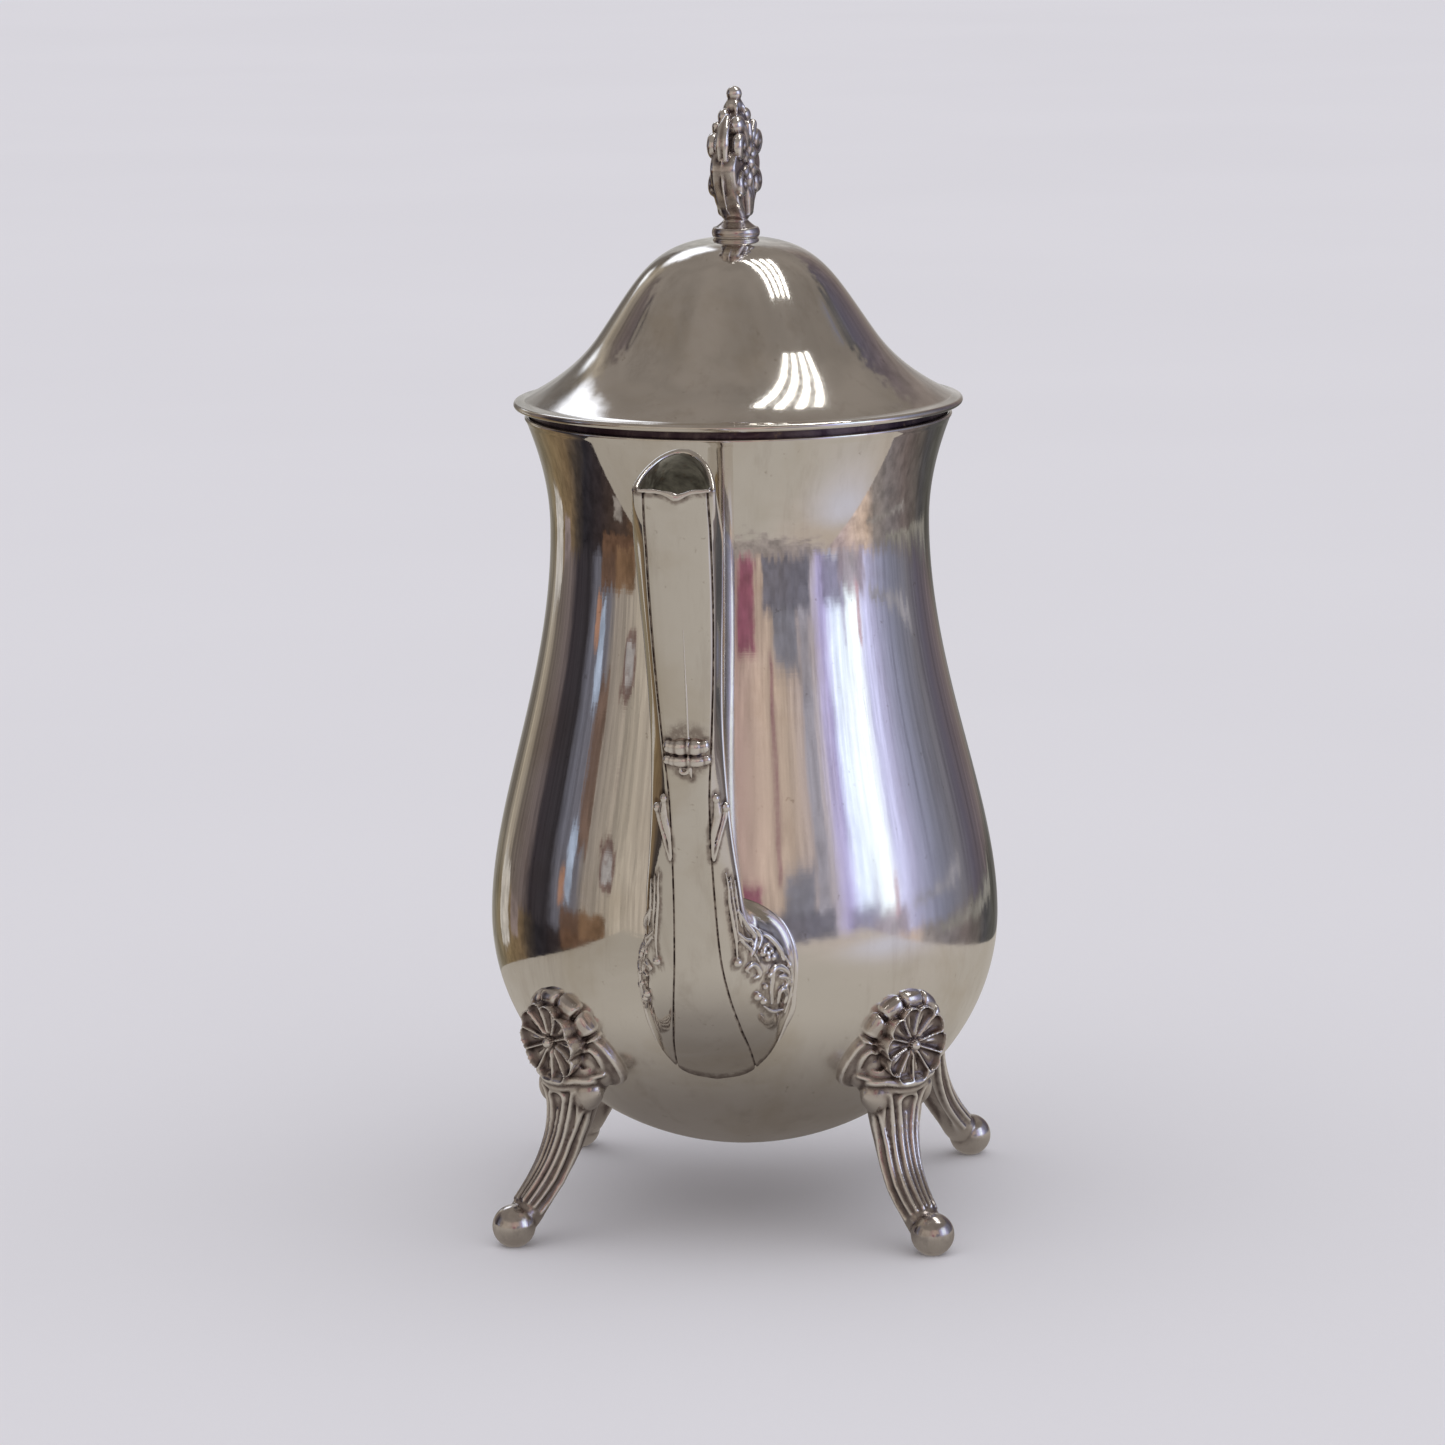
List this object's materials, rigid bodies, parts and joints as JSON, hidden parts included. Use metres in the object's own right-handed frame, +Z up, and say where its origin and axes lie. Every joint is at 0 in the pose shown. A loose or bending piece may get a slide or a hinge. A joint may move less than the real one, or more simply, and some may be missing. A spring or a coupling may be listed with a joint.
{
  "type": "coffee pot",
  "caption": "Footed pear-shaped silver coffee pot with hinged dome lid, cast finial, swan-neck spout, insulated scroll handle and cast feet.",
  "frame": {"origin": "on the table under the middle of the pot, on the body's own axis", "axes": "+Z up along the body's axis, -Y towards the spout, +Y towards the handle, +X to the right seen from the spout"},
  "size_m": [0.116, 0.2024, 0.2568],
  "materials": {
    "polished_silver": "polished silver plate, lightly worn",
    "cast_silver": "cast silver plate with dark patina in the recesses",
    "tarnished_silver": "tarnished silver plate",
    "ivory_plastic": "satin",
    "plain_brass": "satin"
  },
  "bodies": {
    "pot": {"body_shell": "polished_silver", "mouth_ring": "tarnished_silver", "spout_left_half": "polished_silver", "spout_right_half": "polished_silver", "foot_front_left": "cast_silver", "foot_front_right": "cast_silver", "foot_back_left": "cast_silver", "foot_back_right": "cast_silver", "handle_socket_upper": "polished_silver", "handle_socket_lower": "polished_silver", "insulator_upper": "ivory_plastic", "insulator_lower": "ivory_plastic", "handle": "cast_silver", "handle_pins": "polished_silver", "hinge_body_leaf": "cast_silver", "hinge_pin": "polished_silver"},
    "lid": {"lid_shell": "polished_silver", "lid_skirt": "tarnished_silver", "hinge_lid_leaf": "cast_silver", "finial": "cast_silver", "finial_bun": "polished_silver", "finial_stud": "plain_brass", "finial_washer": "plain_brass", "finial_nut": "plain_brass"}
  },
  "joints": [
    {"name": "lid_hinge", "type": "hinge", "parent": "pot", "child": "lid", "pos_m": [0, 0.0538, 0.1852], "axis": [-1, 0, 0], "range_deg": [0, 100]}
  ]
}
